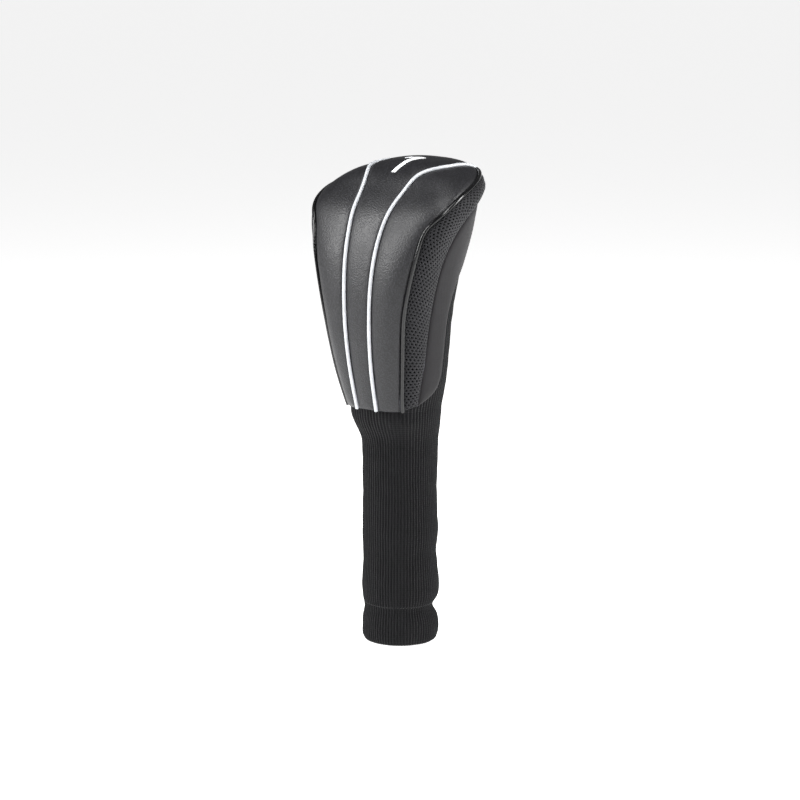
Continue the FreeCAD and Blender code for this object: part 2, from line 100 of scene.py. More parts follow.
# Seam lines in side view: Y and height above the shell seam.
CROWN_EDGE = ((-29.6, 1.6), (-33.1, 15.0), (-39.8, 51.0), (-42.9, 78.0), (-42.9, 102.0), (-39.6, 131.0),
              (-35.1, 144.0), (-27.7, 153.0), (-10.2, 165.0), (9.0, 172.3), (31.6, 179.5), (56.0, 184.0),
              (80.0, 187.0))
MESH_EDGE = ((-19.4, 5.4), (-20.0, 25.0), (-19.0, 50.0), (-18.2, 75.0), (-16.8, 98.0), (-14.8, 117.0),
             (-9.6, 134.0), (-3.0, 146.0), (8.0, 155.0), (24.0, 162.0), (56.0, 170.0), (80.0, 174.0))
TONGUE_EDGE = ((-19.4, 5.0), (-12.0, 9.0), (-4.0, 14.5), (0.5, 21.0), (2.0, 32.0), (3.0, 51.0),
               (3.5, 70.0), (6.0, 86.0), (12.0, 100.0), (22.0, 110.0), (40.0, 116.0), (80.0, 118.0))
# Centre panel: Y, height above the shell seam and half width along the middle of the crown.
CENTRE_PANEL = ((-37.0, -8.0, 9.0), (-42.6, 15.5, 10.0), (-47.2, 40.0, 10.9), (-50.3, 66.0, 11.9),
                (-50.4, 94.0, 12.9), (-46.6, 120.0, 14.3), (-41.5, 138.0, 15.7), (-35.4, 151.0, 17.3),
                (-27.5, 161.5, 19.0), (-18.4, 170.0, 21.2), (-8.0, 178.4, 25.2), (3.0, 183.4, 31.6),
                (14.0, 185.8, 34.6), (30.0, 187.2, 36.2), (44.0, 186.6, 37.8), (54.0, 183.0, 39.2),
                (59.5, 174.0, 40.2), (61.0, 163.0, 41.0))
# Number one on the crown, in plan.
NUMBER_ONE = ((-0.4, -10.0), (3.6, -10.0), (11.6, 17.0), (8.2, 17.0), (-1.4, 11.6), (-2.2, 8.4), (6.0, 11.8))


# Lines -----------------------------------------------------------------------------------------------

def natural_spline(knots, values, places):
    """Smooth curve through rows of values at the knots, read at the places."""
    knots = np.asarray(knots, float)
    values = np.asarray(values, float).reshape(len(knots), -1)
    step = np.diff(knots)
    slope = np.diff(values, axis=0) / step[:, None]
    system = np.eye(len(knots))
    right = np.zeros_like(values)
    for i in range(1, len(knots) - 1):
        system[i, i - 1:i + 2] = step[i - 1], 2 * (step[i - 1] + step[i]), step[i]
        right[i] = 6 * (slope[i] - slope[i - 1])
    bend = np.linalg.solve(system, right)
    span = np.clip(np.searchsorted(knots, places, side="right") - 1, 0, len(knots) - 2)
    size = step[span][:, None]
    low = (knots[span + 1] - places)[:, None] / size
    high = 1 - low
    curve = low * values[span] + high * values[span + 1]
    return curve + ((low ** 3 - low) * bend[span] + (high ** 3 - high) * bend[span + 1]) * size ** 2 / 6


def lengths(line):
    """Distance along a line of points, at each point."""
    return np.concatenate([[0.0], np.cumsum(np.linalg.norm(np.diff(line, axis=0), axis=1))])


def read_line(line, places):
    """Points of a line at distances along it."""
    along = lengths(line)
    return np.stack([np.interp(places, along, line[:, axis]) for axis in range(line.shape[1])], axis=1)


def resample(line, count):
    """Line as evenly spaced points."""
    return read_line(line, np.linspace(0, lengths(line)[-1], count))


def smooth_line(points, spacing):
    """Spline through given points, sampled at about a spacing."""
    points = np.asarray(points, float)
    knots = lengths(points)
    return natural_spline(knots, points, np.linspace(0, knots[-1], int(knots[-1] / spacing) + 2))


def mirror(points):
    return points * np.array([-1.0, 1.0, 1.0])


def unit(vectors):
    return vectors / np.maximum(np.linalg.norm(vectors, axis=-1, keepdims=True), 1e-9)


# Head form -------------------------------------------------------------------------------------------

ANGLES = np.linspace(0, 2 * math.pi, 256, endpoint=False)
FORM_ROWS = 300


def section(station):
    """Points once round the head form at a station."""
    rise, mid, tilt, wide, fore, aft, square_fore, square_aft = station
    across = np.cos(ANGLES)
    along = np.sin(ANGLES)
    reach = np.where(along < 0, fore, aft)
    power = np.where(along < 0, square_fore, square_aft)
    radius = (np.abs(across) ** power + np.abs(along) ** power) ** (-1 / power)
    offset = reach * along * radius
    lean = math.radians(tilt)
    return np.stack([wide * across * radius, mid + offset * math.cos(lean),
                     SEAM_Z + rise + offset * math.sin(lean)], axis=1)


def quads(rows, columns, closed):
    """Faces of a grid of points; a closed grid joins its last column to its first."""
    faces = []
    for row in range(rows - 1):
        for column in range(columns if closed else columns - 1):
            beside = (column + 1) % columns
            faces.append((row * columns + column, row * columns + beside,
                          (row + 1) * columns + beside, (row + 1) * columns + column))
    return faces


def form_tree():
    """Head form through all its stations, for casting rays and finding nearest points."""
    sections = np.stack([section(station) for station in STATIONS])
    steps = np.linalg.norm(np.diff(sections, axis=0), axis=2).mean(axis=1)
    knots = np.concatenate([[0.0], np.cumsum(steps)])
    grid = natural_spline(knots, sections.reshape(len(STATIONS), -1), np.linspace(0, knots[-1], FORM_ROWS))
    grid = grid.reshape(FORM_ROWS * len(ANGLES), 3)
    return BVHTree.FromPolygons([Vector(p) for p in grid], quads(FORM_ROWS, len(ANGLES), True))


FORM = form_tree()
SEAM_SPACING = 0.05
SEAM_POINTS = 900
WHITE_SPACING = 0.4
WHITE_POINTS = 700
CAST_START = 9.0
CAST_REACH = 12.0
BACK_OF_CROWN = 20.0
EDGE_CLEARANCE = 0.5


def cast(start, direction):
    """Where a ray that starts inside the head form leaves it, or None."""
    hit = FORM.ray_cast(Vector(start), Vector(direction))[0]
    return None if hit is None else np.array(hit)


def seam_line(pattern):
    """Right half of a seam that is set in side view, from the neck to the middle of the back."""
    points = []
    for y, rise in smooth_line(pattern, SEAM_SPACING):
        hit = cast((0, y, SEAM_Z + rise), (1, 0, 0))
        if hit is None and points:
            break
        if hit is not None:
            points.append(hit)
    points.append(points[-1] * np.array([0.0, 1.0, 1.0]))
    return resample(np.array(points), SEAM_POINTS)


def white_line():
    """Right edge of the centre panel, from the neck to the edge seam at the back."""
    path = smooth_line([(half, y, SEAM_Z + rise) for y, rise, half in CENTRE_PANEL], WHITE_SPACING)
    edge = smooth_line(CROWN_EDGE, 0.5)
    run = unit(np.gradient(path[:, 1:], axis=0))
    points = []
    for (x, y, z), (ahead, up) in zip(path, run):
        hit = cast((x, y + up * CAST_START, z - ahead * CAST_START), (0, -up, ahead))
        if hit is None or np.linalg.norm(hit - (x, y, z)) > CAST_REACH or hit[2] < SEAM_Z + FOOT:
            continue
        edge_height = SEAM_Z + np.interp(hit[1], edge[:, 0], edge[:, 1])
        if hit[1] > BACK_OF_CROWN and hit[2] < edge_height + EDGE_CLEARANCE:
            break
        points.append(hit)
    return resample(np.array(points), WHITE_POINTS)


edge_right = seam_line(CROWN_EDGE)
mesh_right = seam_line(MESH_EDGE)
tongue_right = seam_line(TONGUE_EDGE)
white_right = white_line()
meeting = int(np.argmin(np.linalg.norm(edge_right - white_right[-1], axis=1)))


# Patches ---------------------------------------------------------------------------------------------

def lay(grid):
    """Grid of points moved onto the head form."""
    flat = grid.reshape(-1, 3)
    laid = np.array([FORM.find_nearest(Vector(point))[0] for point in flat])
    return laid.reshape(grid.shape)


def coons(bottom, top, left, right):
    """Patch between four lines; rows run from the bottom line to the top line."""
    up = np.linspace(0, 1, len(left))[:, None, None]
    across = np.linspace(0, 1, len(bottom))[None, :, None]
    patch = (1 - up) * bottom[None] + up * top[None] + (1 - across) * left[:, None] + across * right[:, None]
    corners = ((1 - up) * (1 - across) * bottom[0] + (1 - up) * across * bottom[-1]
               + up * (1 - across) * top[0] + up * across * top[-1])
    return patch - corners


def band(left, right, rows, columns):
    """Patch between two lines that run the same way."""
    left = resample(left, rows)
    right = resample(right, rows)
    across = np.linspace(0, 1, columns)[None, :, None]
    return (1 - across) * left[:, None] + across * right[:, None]


def eased(count, start, stop):
    """Places from start to stop, closer together near both."""
    even = np.linspace(0, 1, count)
    return start + (stop - start) * (0.45 * even + 0.55 * (0.5 - 0.5 * np.cos(math.pi * even)))


def inset_rows(grid, margin):
    """Grid with each row shortened by a margin at both ends and its points drawn towards the ends."""
    rows = []
    for row in grid:
        length = lengths(row)[-1]
        edge = min(margin, 0.3 * length)
        rows.append(read_line(row, eased(len(row), edge, length - edge)))
    return np.array(rows)


def inset(grid, sides, bottom, top):
    """Grid with margins all round."""
    grid = inset_rows(grid, sides)
    columns = []
    for column in grid.transpose(1, 0, 2):
        length = lengths(column)[-1]
        columns.append(read_line(column, eased(len(column), bottom, length - top)))
    return np.array(columns).transpose(1, 0, 2)


def grid_normals(grid):
    """Outward directions of a grid whose rows run up and whose columns run to the right seen from outside."""
    across = np.gradient(grid, axis=1)
    up = np.gradient(grid, axis=0)
    return unit(np.cross(across, up))


WAVE_COUNT = 7
PUCKER_HEIGHT = 0.10
PUCKER_SIZE = 9.0
PUCKER_REACH = 4.5
PUCKER_START = 1.5
UNEVEN_HEIGHT = 0.16
UNEVEN_SIZE = 34.0
UNEVEN_START = 9.0


def waves(points, size, seed):
    """Smooth random field about 1 high over points, with waves of about a size."""
    random = np.random.default_rng(seed)
    field = np.zeros(points.shape[:-1])
    for wave in range(WAVE_COUNT):
        direction = unit(random.normal(size=3)) * 2 * math.pi / (size * random.uniform(0.7, 1.5))
        field += np.sin(points @ direction + random.uniform(0, 2 * math.pi))
    return field / (WAVE_COUNT / 2)


def border_distance(grid, foot=0.0):
    """Distance of each point of a grid from its nearest border; the first row counts as a foot away."""
    across = np.array([lengths(row) for row in grid])
    up = np.array([lengths(column) for column in grid.transpose(1, 0, 2)]).T
    sides = np.minimum(across, across[:, -1:] - across)
    ends = np.minimum(up + foot, up[-1:] - up)
    return np.minimum(sides, ends)


def cushion(grid, puff, dip, seed, foot=0.0, roll=1.2, reach=7.0):
    """Heights of a padded panel above the form: tucked in at its seams, crowned in the middle, with small
    puckers where the seams pull it and a slow unevenness of the padding."""
    away = border_distance(grid, foot)
    near_seam = np.exp(-away / PUCKER_REACH) * (1 - np.exp(-away / PUCKER_START))
    pucker = PUCKER_HEIGHT * waves(grid, PUCKER_SIZE, seed) * near_seam
    uneven = UNEVEN_HEIGHT * waves(grid, UNEVEN_SIZE, seed + 1) * (1 - np.exp(-away / UNEVEN_START))
    return puff * (1 - np.exp(-away / reach)) - dip * np.exp(-away / roll) + pucker + uneven


# Meshes ----------------------------------------------------------------------------------------------

END_DOME = 0.6


def make_object(name, points, faces, material):
    """Smooth-shaded mesh in the scene, from points in millimetres."""
    mesh = bpy.data.meshes.new(name)
    mesh.from_pydata([tuple(p) for p in np.asarray(points) * MM], [], faces)
    mesh.polygons.foreach_set("use_smooth", [True] * len(mesh.polygons))
    mesh.validate()
    mesh.update()
    made = bpy.data.objects.new(name, mesh)
    scene.collection.objects.link(made)
    made.data.materials.append(material)
    return made


def thickened(name, points, normals, faces, thick, material):
    """Closed sheet of a thickness from outer points, their outward directions and the outer faces."""
    once = {}
    for face in faces:
        for here, there in zip(face, face[1:] + face[:1]):
            if (there, here) in once:
                del once[(there, here)]
            else:
                once[(here, there)] = True
    count = len(points)
    walls = [(there, here, here + count, there + count) for here, there in once]
    inner = [tuple(count + corner for corner in reversed(face)) for face in faces]
    both = np.concatenate([points, points - normals * thick])
    return make_object(name, both, list(faces) + inner + walls, material)


def slab(name, outer, thick, material):
    """Closed sheet of a thickness under a grid of outer points."""
    normals = grid_normals(outer).reshape(-1, 3)
    return thickened(name, outer.reshape(-1, 3), normals, quads(*outer.shape[:2], False), thick, material)


def tube(name, line, radii, sides, material, closed=False):
    """Round tube along a line of points, with domed ends unless it is closed."""
    ahead = np.roll(line, -1, axis=0) - np.roll(line, 1, axis=0) if closed else np.gradient(line, axis=0)
    ahead = unit(ahead)
    axis = np.array([0.0, 0.0, 1.0]) if abs(ahead[0][2]) < 0.9 else np.array([1.0, 0.0, 0.0])
    side = unit(np.cross(axis, ahead[0]))
    rings = []
    turn = np.linspace(0, 2 * math.pi, sides, endpoint=False)
    for point, forward, radius in zip(line, ahead, radii):
        side = unit(side - forward * np.dot(side, forward))
        up = np.cross(forward, side)
        rings.append(point + radius * (np.cos(turn)[:, None] * side + np.sin(turn)[:, None] * up))
    points = np.concatenate(rings)
    faces = quads(len(line), sides, True)
    if closed:
        last = (len(line) - 1) * sides
        offset = int(np.argmin(np.linalg.norm(points[:sides] - points[last], axis=1)))
        for k in range(sides):
            faces.append((last + k, last + (k + 1) % sides, (k + 1 + offset) % sides, (k + offset) % sides))
    else:
        first, final = len(points), len(points) + 1
        points = np.concatenate([points, [line[0] - ahead[0] * radii[0] * END_DOME],
                                 [line[-1] + ahead[-1] * radii[-1] * END_DOME]])
        last = (len(line) - 1) * sides
        for k in range(sides):
            faces.append((first, (k + 1) % sides, k))
            faces.append((final, last + k, last + (k + 1) % sides))
    return make_object(name, points, faces, material)


def place(piece, slot, *nodes):
    """Hangs a piece on the root body and hides the CAD parts that it stands for."""
    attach(piece, "root")
    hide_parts(*nodes)
    return piece


# Materials -------------------------------------------------------------------------------------------

def linear(code):
    """sRGB hex to linear colour."""
    channels = [int(code[digit:digit + 2], 16) / 255 for digit in (1, 3, 5)]
    return [c / 12.92 if c <= 0.04045 else ((c + 0.055) / 1.055) ** 2.4 for c in channels] + [1.0]


def add(tree, kind, inputs, **settings):
    """Adds a node with its settings; each input takes a value or a link from another node's output."""
    made = tree.nodes.new(kind)
    for name, value in settings.items():
        setattr(made, name, value)
    for name, value in inputs.items():
        if isinstance(value, bpy.types.NodeSocket):
            tree.links.new(value, made.inputs[name])
        else:
            made.inputs[name].default_value = value
    return made


def material_tree(name):
    """Empty material, with its tree and the object's own coordinates in metres."""
    material = bpy.data.materials.new(name)
    material.use_nodes = True
    material.node_tree.nodes.clear()
    tree = material.node_tree
    return material, tree, add(tree, "ShaderNodeTexCoord", {}).outputs["Object"]


def per_metre(millimetres):
    """Scale of a pattern whose cells are that many millimetres across."""
    return 1 / (millimetres * MM)


def two_tone(tree, amount, low, high, start=0.0, stop=1.0):
    """Colour that goes from one hex to another as an amount goes from start to stop."""
    ramp = add(tree, "ShaderNodeMapRange",
               {"Value": amount, "From Min": start, "From Max": stop})
    mixed = add(tree, "ShaderNodeMix", {0: ramp.outputs[0], 6: linear(low), 7: linear(high)},
                data_type="RGBA")
    return mixed.outputs[2]


def surface(tree, height, depth, inputs, strength=1.0):
    """Principled surface with a relief of a depth in millimetres."""
    bump = add(tree, "ShaderNodeBump", {"Height": height, "Distance": depth * MM, "Strength": strength})
    shader = add(tree, "ShaderNodeBsdfPrincipled", {"Normal": bump.outputs[0], **inputs})
    add(tree, "ShaderNodeOutputMaterial", {"Surface": shader.outputs[0]})


def leather_material():
    """Polyurethane-coated synthetic leather, embossed with a fine pebble grain.
    The coating gives a broad satin sheen that the creases between the pebbles break up. The colour is painted
    lighter on the pebble tops and darker in the creases, which is painted shade.
    Real pebbles are about 0.7 mm; they are drawn 1.25 mm across to show."""
    material, tree, coords = material_tree("pu_leather_embossed")
    warp = add(tree, "ShaderNodeTexNoise", {"Vector": coords, "Scale": per_metre(2.2), "Detail": 2.0})
    bend = add(tree, "ShaderNodeVectorMath", {0: warp.outputs["Color"], 1: (0.6 * MM,) * 3},
               operation="MULTIPLY")
    moved = add(tree, "ShaderNodeVectorMath", {0: coords, 1: bend.outputs[0]}, operation="ADD")
    pebbles = add(tree, "ShaderNodeTexVoronoi",
                  {"Vector": moved.outputs[0], "Scale": per_metre(1.25), "Smoothness": 0.35},
                  feature="SMOOTH_F1")
    fine = add(tree, "ShaderNodeTexNoise", {"Vector": coords, "Scale": per_metre(0.35), "Detail": 3.0})
    broad = add(tree, "ShaderNodeTexNoise", {"Vector": coords, "Scale": per_metre(28), "Detail": 2.0})
    domes = add(tree, "ShaderNodeMapRange",
                {"Value": pebbles.outputs["Distance"], "From Min": 0.1, "From Max": 0.7, "To Min": 1.0,
                 "To Max": 0.0}, interpolation_type="SMOOTHSTEP")
    relief = add(tree, "ShaderNodeMath",
                 {0: fine.outputs["Fac"], 1: 0.18, 2: domes.outputs[0]}, operation="MULTIPLY_ADD")
    rough = add(tree, "ShaderNodeMapRange",
                {"Value": broad.outputs["Fac"], "From Min": 0.3, "From Max": 0.7, "To Min": 0.40,
                 "To Max": 0.50})
    # Base colour follows the pebble height: painted shade, darker in the creases between pebbles and lighter
    # on their tops.
    surface(tree, relief.outputs[0], 0.10,
            {"Base Color": two_tone(tree, domes.outputs[0], "#111113", "#1f1f23"),
             "Roughness": rough.outputs[0], "IOR": 1.5, "Specular IOR Level": 0.42})
    return material


def coated_strip_material(name, low, high, roughness, coat):
    """Woven strip with a smooth polyurethane coating, folded round its cord.
    The coating is glossy and slightly rippled by the cord inside."""
    material, tree, coords = material_tree(name)
    ripple = add(tree, "ShaderNodeTexNoise", {"Vector": coords, "Scale": per_metre(3.5), "Detail": 3.0})
    fine = add(tree, "ShaderNodeTexNoise", {"Vector": coords, "Scale": per_metre(0.5), "Detail": 2.0})
    relief = add(tree, "ShaderNodeMath", {0: fine.outputs["Fac"], 1: 0.15, 2: ripple.outputs["Fac"]},
                 operation="MULTIPLY_ADD")
    surface(tree, relief.outputs[0], 0.12,
            {"Base Color": two_tone(tree, ripple.outputs["Fac"], low, high, 0.3, 0.7),
             "Roughness": roughness, "IOR": 1.5, "Specular IOR Level": 0.3, "Coat Weight": coat,
             "Coat Roughness": 0.08}, 0.4)
    return material


def cloth_material(name, low, high, thread, roughness, sheen, depth):
    """Woven or warp-knitted synthetic cloth: small crossing threads, matt with a faint sheen of loose fibres.
    The threads are drawn as coarse as the thread size given."""
    material, tree, coords = material_tree(name)
    cells = add(tree, "ShaderNodeTexVoronoi",
                {"Vector": coords, "Scale": per_metre(thread), "Randomness": 0.35})
    fibre = add(tree, "ShaderNodeTexNoise",
                {"Vector": coords, "Scale": per_metre(thread * 0.4), "Detail": 4.0})
    broad = add(tree, "ShaderNodeTexNoise", {"Vector": coords, "Scale": per_metre(20), "Detail": 2.0})
    relief = add(tree, "ShaderNodeMath",
                 {0: fibre.outputs["Fac"], 1: 0.5, 2: cells.outputs["Distance"]}, operation="MULTIPLY_ADD")
    # Colour is a slow random tone plus painted shade from the thread relief: darker in the hollows between
    # threads, lighter on the raised threads.
    tone_and_painted_shade = add(tree, "ShaderNodeMath", {0: broad.outputs["Fac"], 1: 0.5, 2: relief.outputs[0]},
               operation="MULTIPLY_ADD")
    surface(tree, relief.outputs[0], depth,
            {"Base Color": two_tone(tree, tone_and_painted_shade.outputs[0], low, high, 0.3, 1.3), "Roughness": roughness,
             "IOR": 1.45, "Specular IOR Level": 0.25, "Sheen Weight": sheen, "Sheen Roughness": 0.5})
    return material


def knit_material():
    """Acrylic rib knit: rows of small loops down each rib, matt, with a faint halo of fibres.
    The loops follow the mesh's own count of ribs and courses, stored in its stitch attribute."""
    material, tree, coords = material_tree("acrylic_rib_knit")
    stitch = add(tree, "ShaderNodeAttribute", {}, attribute_name="stitch").outputs["Vector"]
    loops = add(tree, "ShaderNodeTexVoronoi", {"Vector": stitch, "Scale": 1.0, "Randomness": 0.25},
                voronoi_dimensions="2D")
    fibre = add(tree, "ShaderNodeTexNoise", {"Vector": coords, "Scale": per_metre(0.45), "Detail": 4.0})
    broad = add(tree, "ShaderNodeTexNoise", {"Vector": coords, "Scale": per_metre(25), "Detail": 2.0})
    loop_height = add(tree, "ShaderNodeMapRange",
                      {"Value": loops.outputs["Distance"], "From Min": 0.1, "From Max": 0.75, "To Min": 1.0,
                       "To Max": 0.0})
    relief = add(tree, "ShaderNodeMath", {0: fibre.outputs["Fac"], 1: 0.5, 2: loop_height.outputs[0]},
                 operation="MULTIPLY_ADD")
    # Colour is a slow random tone plus painted shade from the loop relief: darker between the loops, lighter
    # on the loops.
    tone_and_painted_shade = add(tree, "ShaderNodeMath", {0: broad.outputs["Fac"], 1: 0.6, 2: relief.outputs[0]},
               operation="MULTIPLY_ADD")
    surface(tree, relief.outputs[0], 0.28,
            {"Base Color": two_tone(tree, tone_and_painted_shade.outputs[0], "#070708", "#131315", 0.4, 1.6), "Roughness": 0.85,
             "IOR": 1.45, "Specular IOR Level": 0.1, "Sheen Weight": 0.06, "Sheen Roughness": 0.6})
    return material


leather = leather_material()
white_strip = coated_strip_material("coated_strip_white", "#b2b5b9", "#c5c7cb", 0.30, 0.35)
black_strip = coated_strip_material("coated_strip_black_patent", "#060607", "#0b0b0c", 0.16, 0.25)
mesh_cloth = cloth_material("polyester_spacer_mesh", "#0c0c0e", "#1b1b1e", 0.55, 0.62, 0.05, 0.12)
mesh_back = cloth_material("polyester_mesh_backing", "#050506", "#0a0a0b", 0.8, 0.9, 0.0, 0.1)
jersey = cloth_material("polyester_jersey_smooth", "#0b0a0b", "#151316", 0.6, 0.7, 0.06, 0.05)
rib_knit = knit_material()
thread_cloth = cloth_material("polyester_thread_twisted", "#0c0c0e", "#18181b", 0.3, 0.6, 0.2, 0.05)
number_print = coated_strip_material("polyurethane_number_white", "#e9ebee", "#f6f7f8", 0.35, 0.2)


# Panels ----------------------------------------------------------------------------------------------

PANEL_THICK = 1.0
BILLOW_CELL = 5.0
BILLOW_FRAMES = 20
BILLOW_FEWEST = 6
CENTRE_COLUMNS = 41


def raise_grid(grid, heights):
    """Grid moved outwards by a height at each point."""
    return grid + grid_normals(grid) * heights[..., None]


def read_grid(grid, row, column):
    """Values of a grid at fractional rows and columns."""
    row = np.clip(row, 0, grid.shape[0] - 1.001)
    column = np.clip(column, 0, grid.shape[1] - 1.001)
    low_row = row.astype(int)
    low_column = column.astype(int)
    up = (row - low_row)[..., None]
    along = (column - low_column)[..., None]
    below = (1 - along) * grid[low_row, low_column] + along * grid[low_row, low_column + 1]
    above = (1 - along) * grid[low_row + 1, low_column] + along * grid[low_row + 1, low_column + 1]
    return (1 - up) * below + up * above


def billow(grid, cap):
    """How far each point of a panel moves when its padding blows it up: a cloth that is sewn down all
    round, simulated under pressure on a coarse copy of the panel."""
    rows, columns = grid.shape[:2]
    high = max(BILLOW_FEWEST, int(lengths(grid[:, columns // 2])[-1] / BILLOW_CELL))
    wide = max(BILLOW_FEWEST, int(lengths(grid[rows // 2])[-1] / BILLOW_CELL))
    row_places = np.linspace(0, rows - 1, high)
    column_places = np.linspace(0, columns - 1, wide)
    spread = np.ones((high, wide))
    coarse = read_grid(grid, row_places[:, None] * spread, column_places[None] * spread)
    sheet = make_object("billow_sheet", coarse.reshape(-1, 3), quads(high, wide, False), leather)
    border = [r * wide + c for r in range(high) for c in range(wide)
              if r in (0, high - 1) or c in (0, wide - 1)]
    sheet.vertex_groups.new(name="sewn").add(border, 1.0, "REPLACE")
    cloth = sheet.modifiers.new("Cloth", "CLOTH").settings
    cloth.quality = 6
    cloth.vertex_group_mass = "sewn"
    cloth.use_pressure = True
    cloth.uniform_pressure_force = 4.0
    cloth.bending_stiffness = 8.0
    cloth.effector_weights.gravity = 0.0
    for count in range(1, BILLOW_FRAMES + 1):
        scene.frame_set(count)
    settled = sheet.evaluated_get(bpy.context.evaluated_depsgraph_get()).to_mesh()
    moved = np.array([vertex.co[:] for vertex in settled.vertices]).reshape(high, wide, 3) / MM - coarse
    scene.frame_set(1)
    bpy.data.objects.remove(sheet)
    far = np.linalg.norm(moved, axis=2, keepdims=True)
    moved *= cap * np.tanh(far / cap) / np.maximum(far, 1e-6)
    fine = natural_spline(row_places, moved.reshape(high, -1), np.arange(rows)).reshape(rows, wide, 3)
    fine = natural_spline(column_places, fine.transpose(1, 0, 2).reshape(wide, -1), np.arange(columns))
    return fine.reshape(columns, rows, 3).transpose(1, 0, 2)


def panel(name, outer, material, slot, node):
    """Padded panel that stands for a CAD panel."""
    piece = place(slab(name, outer, PANEL_THICK, material), slot, node)


def whole(right_half):
    """Seam from one side to the other, through the middle of the back."""
    return np.concatenate([right_half, mirror(right_half)[::-1][1:]])


side_grid = inset(lay(band(white_right, edge_right[:meeting + 1], rows=230, columns=46)),
                  sides=0.8, bottom=0.2, top=3.0)
for side, grid, seed in (("right", side_grid, 21), ("left", mirror(side_grid)[:, ::-1], 31)):
    heights = cushion(grid, puff=1.5, dip=1.5, seed=seed, foot=FOOT)
    outer = raise_grid(grid, heights) + billow(grid, cap=1.6)
    panel("leather_panel_" + side, outer, leather, "crown_leather", "crown_panel_" + side)

foot_half = white_right[0][0]
crown_foot = np.array([cast((x, NECK_Y, white_right[0][2]), (0, -1, 0))
                       for x in np.linspace(-foot_half, foot_half, CENTRE_COLUMNS)])
back_edge = np.concatenate([mirror(edge_right[meeting:]), edge_right[meeting:-1][::-1]])
white_rows = resample(white_right, 250)
centre_patch = coons(crown_foot, resample(back_edge, CENTRE_COLUMNS), mirror(white_rows), white_rows)
centre_grid = inset(lay(centre_patch), sides=0.8, bottom=0.2, top=0.8)
centre_heights = cushion(centre_grid, puff=1.1, dip=1.6, seed=41, foot=FOOT)
centre_outer = raise_grid(centre_grid, centre_heights) + billow(centre_grid, cap=1.2)
panel("leather_panel_centre", centre_outer, leather, "crown_leather", "crown_panel_centre")

back_grid = inset(lay(band(whole(mesh_right), whole(tongue_right), rows=420, columns=40)),
                  sides=0.15, bottom=0.2, top=0.2)
back_heights = cushion(back_grid, puff=0.4, dip=0.9, seed=51, roll=1.6)
back_outer = raise_grid(back_grid, back_heights) + billow(back_grid, cap=0.8)
panel("back_panel_cover", back_outer, jersey, "back_panel", "back_panel")


# Perforated gussets ----------------------------------------------------------------------------------

HOLE_PITCH = 2.8
HOLE_RADIUS = 0.74
HOLE_CORNERS = 12
SMALLEST_FACE = 0.002
NET_THICK = 0.9
BACKING_THICK = 1.2
BACKING_DEPTH = 1.7


def perforated(grid):
    """Points, normals and faces of a net of round holes in staggered rows, laid over a grid."""
    middle = lengths(grid[:, grid.shape[1] // 2])
    widths = np.array([lengths(row)[-1] for row in grid])
    rows = np.arange(len(grid))
    corners = np.arange(HOLE_CORNERS)
    turn = corners * math.pi / (HOLE_CORNERS / 2)
    rim = np.where(corners % 2 == 0, HOLE_PITCH / 2, HOLE_PITCH / math.sqrt(3))
    outer_ring = np.stack([rim * np.cos(turn), rim * np.sin(turn)], axis=1)
    hole_ring = HOLE_RADIUS * np.stack([np.cos(turn), np.sin(turn)], axis=1)
    places = {}
    faces = []
    step = HOLE_PITCH * math.sqrt(3) / 2
    for line in range(int(middle[-1] / step) + 2):
        along = line * step
        width = np.interp(along, middle, widths)
        for cell in range(-1, int(width / HOLE_PITCH) + 2):
            centre = np.array([(cell + 0.5 * (line % 2)) * HOLE_PITCH, along])
            if centre[0] < -HOLE_PITCH / 2 or centre[0] > width + HOLE_PITCH / 2:
                continue
            numbers = []
            for point in np.concatenate([centre + outer_ring, centre + hole_ring]):
                far = min(max(point[1], 0.0), middle[-1])
                side = min(max(point[0], 0.0), np.interp(far, middle, widths))
                key = (round(side, 3), round(far, 3))
                numbers.append(places.setdefault(key, len(places)))
            for k in range(HOLE_CORNERS):
                beside = (k + 1) % HOLE_CORNERS
                face = [k, beside, HOLE_CORNERS + beside, HOLE_CORNERS + k]
                face = list(dict.fromkeys(numbers[corner] for corner in face))
                if len(face) > 2:
                    faces.append(tuple(face))
    flat = np.array(list(places))
    row = np.interp(flat[:, 1], middle, rows)
    share = flat[:, 0] / np.interp(flat[:, 1], middle, widths)
    column = share * (grid.shape[1] - 1)
    kept = []
    for face in faces:
        here = flat[list(face)]
        there = np.roll(here, -1, axis=0)
        area = 0.5 * abs(np.sum(here[:, 0] * there[:, 1] - here[:, 1] * there[:, 0]))
        if area > SMALLEST_FACE:
            kept.append(face)
    return read_grid(grid, row, column), read_grid(grid_normals(grid), row, column), kept


def gusset(side, outer, backing):
    """Spacer mesh at one side: a perforated net over its backing."""
    points, normals, faces = perforated(outer)
    net = thickened("mesh_gusset_net_" + side, points, normals, faces, NET_THICK, mesh_cloth)
    back = slab("mesh_gusset_backing_" + side, backing, BACKING_THICK, mesh_back)
    place(net, "spacer_mesh", "mesh_gusset_" + side)
    place(back, "spacer_mesh", "mesh_gusset_" + side)


mesh_grid = inset(lay(band(edge_right, mesh_right, rows=360, columns=30)), sides=0.1, bottom=0.2, top=0.05)
mesh_heights = cushion(mesh_grid, puff=1.3, dip=1.0, seed=61, roll=1.6, reach=5.0)
mesh_outer = raise_grid(mesh_grid, mesh_heights)
mesh_under = raise_grid(mesh_grid, mesh_heights - BACKING_DEPTH)
gusset("right", mesh_outer, mesh_under)
gusset("left", mirror(mesh_outer)[:, ::-1], mirror(mesh_under)[:, ::-1])


# Pipings ---------------------------------------------------------------------------------------------

STITCH_PITCH = 2.6
STITCH_PULL = 0.035
NORMAL_SMOOTHING = 20
STRIP_SIDES = 20
CORD_SIDES = 8


